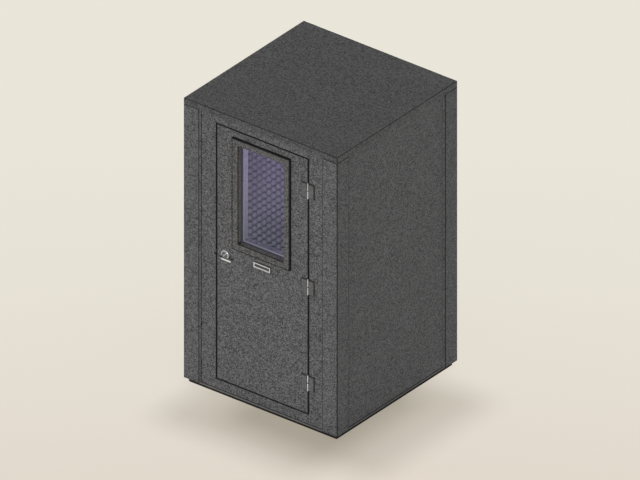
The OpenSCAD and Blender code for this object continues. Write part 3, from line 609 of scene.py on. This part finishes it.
def frame_inner_look(name):
    """Inner window frame: carpet on its face, pale paint on the reveal seen through the glass,
    paler towards the top as painted light, and on the sill behind it a carpet tone, darker than the
    reveal as painted shade.
    """
    look = Tree(name)
    colour, normal = carpet_parts(look, (0.100, 0.098, 0.100))
    # Painted light: the reveal paler towards the top
    pale = look.mix(look.climb(*WINDOW_Z), (0.27, 0.275, 0.22), (0.53, 0.54, 0.50))
    pale = look.scaled(pale, look.varied(look.noise(0.02, 4.0), 0.9, 1.1))
    lip = look.spread(look.axis(1), *INNER_LIP_Y, 1.0, 0.0)
    pale = look.mix(lip, pale, (0.60, 0.595, 0.57))
    # Painted shade: the sill behind the lip in a carpet tone darker than the reveal
    sill = look.product(look.facing(2), look.spread(look.axis(1), *INNER_SILL_Y, 0.0, 1.0))
    pale = look.mix(sill, pale, look.scaled(colour, 2.3))
    pale = look.mix(look.within(*OPENING), look.scaled(colour, 0.8), pale)
    return look.principled(
        Base_Color=look.mix(look.facing(1), pale, colour), Roughness=0.8, Normal=normal
    )


def spacer_look(name):
    """Dark bar between the panes, with a pale lip at its inner end, paler towards the top as
    painted light.
    """
    look = Tree(name)
    lip = look.spread(look.axis(1), *SPACER_LIP_Y, 0.0, 1.0)
    # Painted light: the lip paler towards the top
    pale = look.mix(look.climb(*WINDOW_Z), (0.66, 0.64, 0.50), (0.95, 0.94, 0.78))
    colour = look.mix(lip, (0.105, 0.104, 0.110), pale)
    value = look.varied(look.noise(0.01, 3.0), 0.9, 1.08)
    return look.principled(Base_Color=look.scaled(colour, value), Roughness=0.6)


def box_of(node, width):
    """The box of a node, with the width of the line along its edges."""
    low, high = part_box(node)
    return tuple(low), tuple(high), width


SLOT_LOOKS = {
    "carpet": carpet("carpet_charcoal"),
    "floor_carpet": carpet("carpet_floor", (0.085, 0.085, 0.088)),
    "foam": foam("foam_violet_grey"),
    "black_paint": paint("paint_black", (0.012, 0.012, 0.013)),
    "base": base_look("carpet_base"),
    "rubber": rubber("rubber_black"),
    "liner": paint("liner_dark", (0.055, 0.053, 0.058)),
    "timber": timber("timber_pine", (0.60, 0.44, 0.26), (0.42, 0.27, 0.13)),
    "core": wool("mineral_wool"),
    "leaf": paint("leaf_charcoal", (0.1, 0.1, 0.102)),
    "steel": brushed("steel_satin", (0.58, 0.60, 0.63), (20.0, 600.0, 600.0)),
    "dark_steel": brushed("steel_dark", (0.16, 0.155, 0.15), (300.0, 300.0, 30.0), (0.35, 0.55)),
    "aluminium": brushed("aluminium", (0.40, 0.405, 0.41), (30.0, 400.0, 400.0), (0.3, 0.5)),
    "plastic": plastic("plastic_dark", (0.035, 0.035, 0.037)),
    "glass": window_glass("glass_violet"),
    "plate": plate_metal("plate_bare"),
}
NODE_LOOKS = {
    "roof_cap": carpet("roof_carpet", ROOF_PILE_SHADED, [ROOF_SEAM_SHADES], 0.84),
    "roof_gasket": carpet("gasket_felt"),
    "floor_base": base_look("base_carpet"),
    "door_slab": faced_carpet(
        "door_carpet",
        CHARCOAL,
        [box_of("door_slab", 0.005), LATCH_SIDE_SHADE, PLATE_TOP_SHADE, PLATE_SIDE_SHADE],
    ),
    "front_wall": faced_carpet(
        "front_carpet",
        CHARCOAL,
        [FRONT_SEAM_SHADES, DOORWAY_SEAM_SHADES, HINGE_SIDE_SHADE, STRIKE_SHADE],
    ),
    "window_frame_outer": faced_carpet(
        "window_carpet",
        (0.1017, 0.1007, 0.0990),
        [box_of("window_frame_outer", 0.0105)],
        OPENING,
    ),
    "window_frame_inner": frame_inner_look("window_inner"),
    "glazing_spacer": spacer_look("spacer_pale"),
    "glazing_gaskets": spacer_look("gasket_grey"),
    "lever_outer": brushed(
        "lever_satin",
        (0.86, 0.90, 0.98),
        (20.0, 600.0, 600.0),
        rim=box_of("lever_outer", 0.0035),
        darkened_box=LEVER_ROOT,
    ),
    "rose_outer": rose_metal("rose_rimmed"),
    "rose_inner": rose_metal("rose_rimmed_inner"),
}
# How far the edges of a node are rounded
SOFT_EDGE = {
    "roof_cap": 0.004,
    "wall_left_shell": 0.002,
    "wall_right_shell": 0.002,
    "window_frame_outer": 0.003,
    "window_frame_inner": 0.003,
    "ceiling_panel": 0.003,
    "floor_base": 0.002,
    "name_plate": 0.0006,
    "strike_plate": 0.0005,
    "lever_outer": 0.0015,
    "lever_inner": 0.0015,
}
for side, (line, lines, step_light) in TRIMS.items():
    trim = "corner_trim_" + side
    NODE_LOOKS[trim] = carpet(side + "_carpet", PILE, [box_of(trim, line), *lines], step_light=step_light)
    SOFT_EDGE[trim] = 0.004
for wall in ("wall_left_shell", "wall_right_shell"):
    NODE_LOOKS[wall] = carpet(wall + "_carpet", PILE, [SIDE_SEAM_SHADES])
for level in HINGE_LEVELS:
    for part in HINGE_PARTS:
        leaf = part + level
        NODE_LOOKS[leaf] = hinge_metal(leaf + "_look", *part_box(leaf))
        SOFT_EDGE[leaf] = 0.0006


def dress_nodes():
    """Every carried node gets its look, and rounded edges where the real one has them."""
    slot_of = {part["node"]: part["material_slot"] for part in frame["record"]["subparts"]}
    for name, obj in nodes.items():
        look = NODE_LOOKS.get(name) or SLOT_LOOKS[slot_of[name]]
        obj.data.materials.clear()
        obj.data.materials.append(look)
        if name in SOFT_EDGE:
            round_edges(obj, SOFT_EDGE[name])


def round_edges(obj, width):
    weld = obj.modifiers.new("weld", "WELD")
    weld.merge_threshold = 0.00002
    bevel = obj.modifiers.new("bevel", "BEVEL")
    bevel.width = width
    bevel.segments = 3
    bevel.limit_method = "ANGLE"
    bevel.angle_limit = math.radians(40)
    normals = obj.modifiers.new("normals", "WEIGHTED_NORMAL")
    normals.keep_sharp = False


def mesh_object(name, verts, faces, body, slot, smooth=True):
    """A piece that rides a body, in the look of its slot."""
    mesh = bpy.data.meshes.new(name)
    mesh.from_pydata(verts, [], faces)
    mesh.update()
    obj = bpy.data.objects.new(name, mesh)
    bpy.context.scene.collection.objects.link(obj)
    mesh.materials.append(SLOT_LOOKS[slot])
    if smooth:
        mesh.polygons.foreach_set("use_smooth", [True] * len(mesh.polygons))
    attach(obj, body)
    return obj


def turn_out(obj):
    """Points every face of a closed mesh outwards."""
    work = bmesh.new()
    work.from_mesh(obj.data)
    bmesh.ops.recalc_face_normals(work, faces=work.faces[:])
    work.to_mesh(obj.data)
    work.free()


def body_of(node):
    groups = frame["record"]["behaviour"]["bodies"]
    return next(body for body, members in groups.items() if node in members)


def pyramid_height(u, v, peak):
    """Height above the foam's base at u, v from -1 to 1 in one cell: a soft pyramid."""
    reach = (abs(u) ** CORNER_POWER + abs(v) ** CORNER_POWER) ** (1 / CORNER_POWER)
    rise = max(0.0, 1.0 - reach)
    if rise >= 1.0 - BLUNT:
        rise = 1.0 - BLUNT + (rise - 1.0 + BLUNT) * BLUNT_SLOPE
    rise = rise * rise / (2 * FOOT) if rise < FOOT else rise - FOOT / 2
    return peak * rise


def foam_pad(node, columns, rows, place, seed, keep=None):
    """A pad of pyramid foam in place of a CAD node. place(a, b, h) gives the point a columns
    along, b rows up and h above the wall. keep(column, row) leaves out the vent openings."""
    rng = random.Random(seed)
    steps = CELL_STEPS
    verts = []
    heights = []
    middles = []
    tops = {}
    backs = {}
    faces = []
    cells = {
        (c, r)
        for c in range(columns)
        for r in range(rows)
        if keep is None or keep(c, r)
    }

    def top(i, j, height):
        if (i, j) not in tops:
            tops[i, j] = len(verts)
            verts.append(place(i / steps, j / steps, height))
            heights.append((height - FOAM_BASE) / PYRAMID)
            middles.append(1.0 - abs(2 * (j % steps) / steps - 1))
        return tops[i, j]

    def back(i, j):
        if (i, j) not in backs:
            backs[i, j] = len(verts)
            verts.append(place(i / steps, j / steps, 0.0))
            heights.append(0.0)
            middles.append(1.0)
        return backs[i, j]

    for c, r in sorted(cells):
        peak = PYRAMID * rng.uniform(LOWEST_PEAK, 1.0)
        lean_u = rng.uniform(-LEAN, LEAN)
        lean_v = rng.uniform(-LEAN, LEAN)
        grid = []
        for j in range(steps + 1):
            row = []
            for i in range(steps + 1):
                u = 2 * i / steps - 1
                v = 2 * j / steps - 1
                inside = (1 - abs(u)) * (1 - abs(v))
                height = pyramid_height(u - lean_u * inside, v - lean_v * inside, peak)
                height = min(FOAM_BASE + height, FOAM_BASE + PYRAMID)
                row.append(top(c * steps + i, r * steps + j, height))
            grid.append(row)
        for j in range(steps):
            for i in range(steps):
                faces.append((grid[j][i], grid[j][i + 1], grid[j + 1][i + 1], grid[j + 1][i]))
        i0, j0 = c * steps, r * steps
        sides = (
            ((c, r - 1), [(i0 + k, j0) for k in range(steps + 1)]),
            ((c + 1, r), [(i0 + steps, j0 + k) for k in range(steps + 1)]),
            ((c, r + 1), [(i0 + steps - k, j0 + steps) for k in range(steps + 1)]),
            ((c - 1, r), [(i0, j0 + steps - k) for k in range(steps + 1)]),
        )
        rim = []
        for neighbour, line in sides:
            if neighbour in cells:
                rim.append(back(*line[0]))
                continue
            for p, q in zip(line, line[1:]):
                faces.append((tops[p], back(*p), back(*q), tops[q]))
                rim.append(back(*p))
        faces.append(tuple(reversed(rim)))
    obj = mesh_object(node + "_pad", verts, faces, body_of(node), "foam")
    # These measures carry the foam's painted shade and highlight
    for name, values in (("height", heights), ("row", middles)):
        attribute = obj.data.attributes.new(name, "FLOAT", "POINT")
        attribute.data.foreach_set("value", values)
    turn_out(obj)
    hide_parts(node)
    return obj


def cells_between(low, high, axis):
    return round((high[axis] - low[axis]) / PITCH)


def foam_pads():
    """The five pads, each in the place of its node's box."""
    left, left_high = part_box("foam_left")
    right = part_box("foam_right")[1][0]
    back, back_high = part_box("foam_back")
    roof, roof_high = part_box("foam_ceiling")
    door, door_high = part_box("foam_door")
    rows = cells_between(left, left_high, 2)
    side_columns = cells_between(left, left_high, 1)

    def on_left(a, b, h):
        return left[0] + h, left[1] + a * PITCH, left[2] + b * PITCH

    def on_right(a, b, h):
        return right - h, left[1] + a * PITCH, left[2] + b * PITCH

    def on_back(a, b, h):
        return back[0] + a * PITCH, back_high[1] - h, back[2] + b * PITCH

    def on_ceiling(a, b, h):
        return roof[0] + a * PITCH, roof[1] + b * PITCH, roof_high[2] - h

    def on_door(a, b, h):
        return door[0] + a * PITCH, door[1] + h, door[2] + b * PITCH

    def beside_vents(column, row):
        return not (column in VENT_COLUMNS and (row < VENT_ROWS or row >= rows - VENT_ROWS))

    return [
        foam_pad("foam_left", side_columns, rows, on_left, 11),
        foam_pad("foam_right", side_columns, rows, on_right, 12),
        foam_pad("foam_back", cells_between(back, back_high, 0), rows, on_back, 13, beside_vents),
        foam_pad(
            "foam_ceiling",
            cells_between(roof, roof_high, 0),
            cells_between(roof, roof_high, 1),
            on_ceiling,
            14,
        ),
        foam_pad(
            "foam_door",
            cells_between(door, door_high, 0),
            cells_between(door, door_high, 2),
            on_door,
            15,
        ),
    ]


def screw_heads(name, body, slot, places, out):
    """Pan-head screws with a hexagonal socket, on the surface at each place and facing out."""
    out = Vector(out)
    side = out.orthogonal().normalized()
    up = out.cross(side)
    verts = []
    faces = []
    for place in places:
        first = len(verts)
        for share, height, socket in SCREW_PROFILE:
            for step in range(SCREW_SIDES):
                turn = 2 * math.pi * step / SCREW_SIDES
                reach = SCREW_RADIUS * share
                if socket:
                    reach /= math.cos(turn % (math.pi / 3) - math.pi / 6)
                spoke = side * math.cos(turn) + up * math.sin(turn)
                verts.append(Vector(place) + spoke * reach + out * SCREW_RADIUS * height)
        for ring in range(len(SCREW_PROFILE) - 1):
            for step in range(SCREW_SIDES):
                a = first + ring * SCREW_SIDES + step
                b = first + ring * SCREW_SIDES + (step + 1) % SCREW_SIDES
                faces.append((a, b, b + SCREW_SIDES, a + SCREW_SIDES))
        last = first + (len(SCREW_PROFILE) - 1) * SCREW_SIDES
        faces.append(tuple(range(last, last + SCREW_SIDES)))
        faces.append(tuple(range(first + SCREW_SIDES - 1, first - 1, -1)))
    turn_out(mesh_object(name, verts, faces, body, slot, smooth=False))


def hinge_screws():
    """Three screws in each hinge leaf."""
    for part, body, side in zip(HINGE_PARTS, ("booth", "door"), (1, -1)):
        places = []
        for level in HINGE_LEVELS:
            low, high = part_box(part + level)
            middle = (low[2] + high[2]) / 2
            for off_axis, rise in LEAF_SCREWS:
                places.append((HINGE_X + side * off_axis, LEAF_Y, middle + rise))
        screw_heads(part + "screws", body, "leaf", places, (0.0, -1.0, 0.0))


def flange_screws():
    """Four screws in each duct flange and four in each inner grille."""
    sleeve = ("sleeve", FLANGE_Y, 1.0, "steel")
    grille = ("grille", GRILLE_Y, -1.0, "dark_steel")
    for part, level, out, slot in (sleeve, grille):
        for duct in ("intake", "exhaust"):
            low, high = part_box(f"{duct}_{part}")
            centre = (low[0] + high[0]) / 2, (low[2] + high[2]) / 2
            circle = ((high[0] - low[0]) / 2 - FLANGE_MARGIN) * math.sqrt(0.5)
            places = [
                (centre[0] + x * circle, level, centre[1] + z * circle)
                for x in (-1, 1)
                for z in (-1, 1)
            ]
            screw_heads(f"{duct}_{part}_screws", "booth", slot, places, (0.0, out, 0.0))


def camera_axes():
    right = Vector((math.cos(AZIMUTH), math.sin(AZIMUTH), 0.0))
    back = Vector(
        (
            math.sin(AZIMUTH) * math.cos(ELEVATION),
            -math.cos(AZIMUTH) * math.cos(ELEVATION),
            math.sin(ELEVATION),
        )
    )
    return right, back.cross(right), back


def make_camera():
    right, up, back = camera_axes()
    centre = Vector((0.0, 0.0, cad_box[1][2] / 2))
    aim = centre + right * AIM_RIGHT + up * AIM_UP
    data = bpy.data.cameras.new("camera")
    data.type = "ORTHO"
    data.ortho_scale = VIEW_WIDTH
    data.clip_end = CLIP_END
    camera = bpy.data.objects.new("camera", data)
    place = Matrix((right, up, back)).transposed().to_4x4()
    place.translation = aim + back * CAMERA_BACK
    camera.matrix_world = place
    bpy.context.scene.collection.objects.link(camera)
    bpy.context.scene.camera = camera


def make_sun(name, toward, angle, colour=(1, 1, 1)):
    """A sun lamp. The length of toward is the light it gives a white face square to it."""
    toward = Vector(toward)
    data = bpy.data.lights.new(name, "SUN")
    data.energy = toward.length * math.pi
    data.angle = math.radians(angle)
    data.color = colour
    lamp = bpy.data.objects.new(name, data)
    lamp.rotation_euler = toward.to_track_quat("Z", "Y").to_euler()
    bpy.context.scene.collection.objects.link(lamp)
    return lamp


def light_group(name, objects, state):
    """A collection for light linking, of these objects alone or of all but them."""
    group = bpy.data.collections.new(name)
    for obj in objects:
        group.objects.link(obj)
    for item in group.collection_objects:
        item.light_linking.link_state = state
    return group


def lights(lamp, objects, state="INCLUDE"):
    """The lamp lights only these objects, or with EXCLUDE all but them."""
    lamp.light_linking.receiver_collection = light_group(lamp.name + "_lit", objects, state)


def shadowed_by(lamp, objects, state="INCLUDE"):
    """Only these objects cast the lamp's shadows, or with EXCLUDE all but them."""
    lamp.light_linking.blocker_collection = light_group(lamp.name + "_casts", objects, state)


def make_cabin_lamp():
    data = bpy.data.lights.new("cabin_lamp", "POINT")
    data.energy = CABIN_LAMP_POWER
    data.shadow_soft_size = CABIN_LAMP_RADIUS
    data.color = CABIN_LAMP_COLOUR
    lamp = bpy.data.objects.new("cabin_lamp", data)
    lamp.location = CABIN_LAMP
    lamp.visible_camera = False
    lamp.visible_glossy = False
    bpy.context.scene.collection.objects.link(lamp)


def seen_directly(look):
    """1 for rays that come from the camera, or by way of metal or glass."""
    path = look.add("ShaderNodeLightPath").outputs
    seen = look.math("ADD", path["Is Camera Ray"], path["Is Glossy Ray"])
    return look.math("ADD", seen, path["Is Transmission Ray"], clamp=True)


def floor_look():
    """Pale floor that keeps the shadow. What the camera sees of it is lifted to the
    photograph's background, which turns from warm in front to cooler behind."""
    look = Tree("floor")
    x = look.math("MULTIPLY", look.axis(0), -math.sin(AZIMUTH))
    away = look.math("MULTIPLY_ADD", look.axis(1), math.cos(AZIMUTH), x)
    lift = look.mix(look.spread(away, -3.0, 1.0, 0.0, 1.0), FLOOR_FRONT, FLOOR_MIDDLE)
    lift = look.mix(look.spread(away, 1.0, 3.2, 0.0, 1.0), lift, FLOOR_BEHIND)
    diffuse = look.add("ShaderNodeBsdfDiffuse", {"Color": rgba((FLOOR_ALBEDO,) * 3)})
    glow = look.add("ShaderNodeEmission", {"Color": lift, "Strength": seen_directly(look)})
    both = look.add("ShaderNodeAddShader", {0: diffuse.outputs[0], 1: glow.outputs[0]})
    return look.finish(both.outputs[0])


def make_floor():
    mesh = bpy.data.meshes.new("floor")
    ends = (-FLOOR_REACH, FLOOR_REACH)
    corners = [(x, y, 0) for x in ends for y in ends]
    mesh.from_pydata(corners, [], [(0, 2, 3, 1)])
    floor = bpy.data.objects.new("floor", mesh)
    mesh.materials.append(floor_look())
    bpy.context.scene.collection.objects.link(floor)
    return floor


def make_world():
    """Even light from all round. The camera and metal see a pale wall in its place."""
    world = bpy.data.worlds.new("studio")
    world.use_nodes = True
    tree = world.node_tree
    tree.nodes.clear()
    path = tree.nodes.new("ShaderNodeLightPath")
    light = tree.nodes.new("ShaderNodeBackground")
    light.inputs["Color"].default_value = (1.0, 1.0, 1.0, 1.0)
    light.inputs["Strength"].default_value = WORLD
    seen = tree.nodes.new("ShaderNodeBackground")
    seen.inputs["Color"].default_value = rgba(WORLD_SEEN)
    mix = tree.nodes.new("ShaderNodeMixShader")
    total = tree.nodes.new("ShaderNodeMath")
    total.operation = "MAXIMUM"
    output = tree.nodes.new("ShaderNodeOutputWorld")
    tree.links.new(path.outputs["Is Camera Ray"], total.inputs[0])
    tree.links.new(path.outputs["Is Glossy Ray"], total.inputs[1])
    tree.links.new(total.outputs[0], mix.inputs[0])
    tree.links.new(light.outputs[0], mix.inputs[1])
    tree.links.new(seen.outputs[0], mix.inputs[2])
    tree.links.new(mix.outputs[0], output.inputs["Surface"])
    bpy.context.scene.world = world


def make_light(floor, pads):
    make_world()
    key = make_sun("key", KEY, KEY_ANGLE)
    lights(key, [floor], "EXCLUDE")
    # The front right trim casts no shadow from the key; painted shade along its edges stands in
    shadowed_by(key, [nodes["corner_trim_front_right"]], "EXCLUDE")
    lights(make_sun("fill", FILL, FILL_ANGLE), [floor], "EXCLUDE")
    for number, toward in enumerate(FLOOR_SUNS):
        lamp = make_sun(f"floor_sun_{number}", toward, FLOOR_SUN_ANGLE, FLOOR_SUN_COLOUR)
        lights(lamp, [floor])
        shadowed_by(lamp, [nodes["roof_cap"]])
    cabin_sun = make_sun("cabin_sun", CABIN_SUN, CABIN_SUN_ANGLE)
    lights(cabin_sun, pads)
    shadowed_by(cabin_sun, [pad for pad in pads if pad.name != "foam_ceiling_pad"])
    make_cabin_lamp()


make_camera()
bpy.context.scene.view_settings.view_transform = "Standard"
dress_nodes()
pads = foam_pads()
hinge_screws()
flange_screws()
make_light(make_floor(), pads)
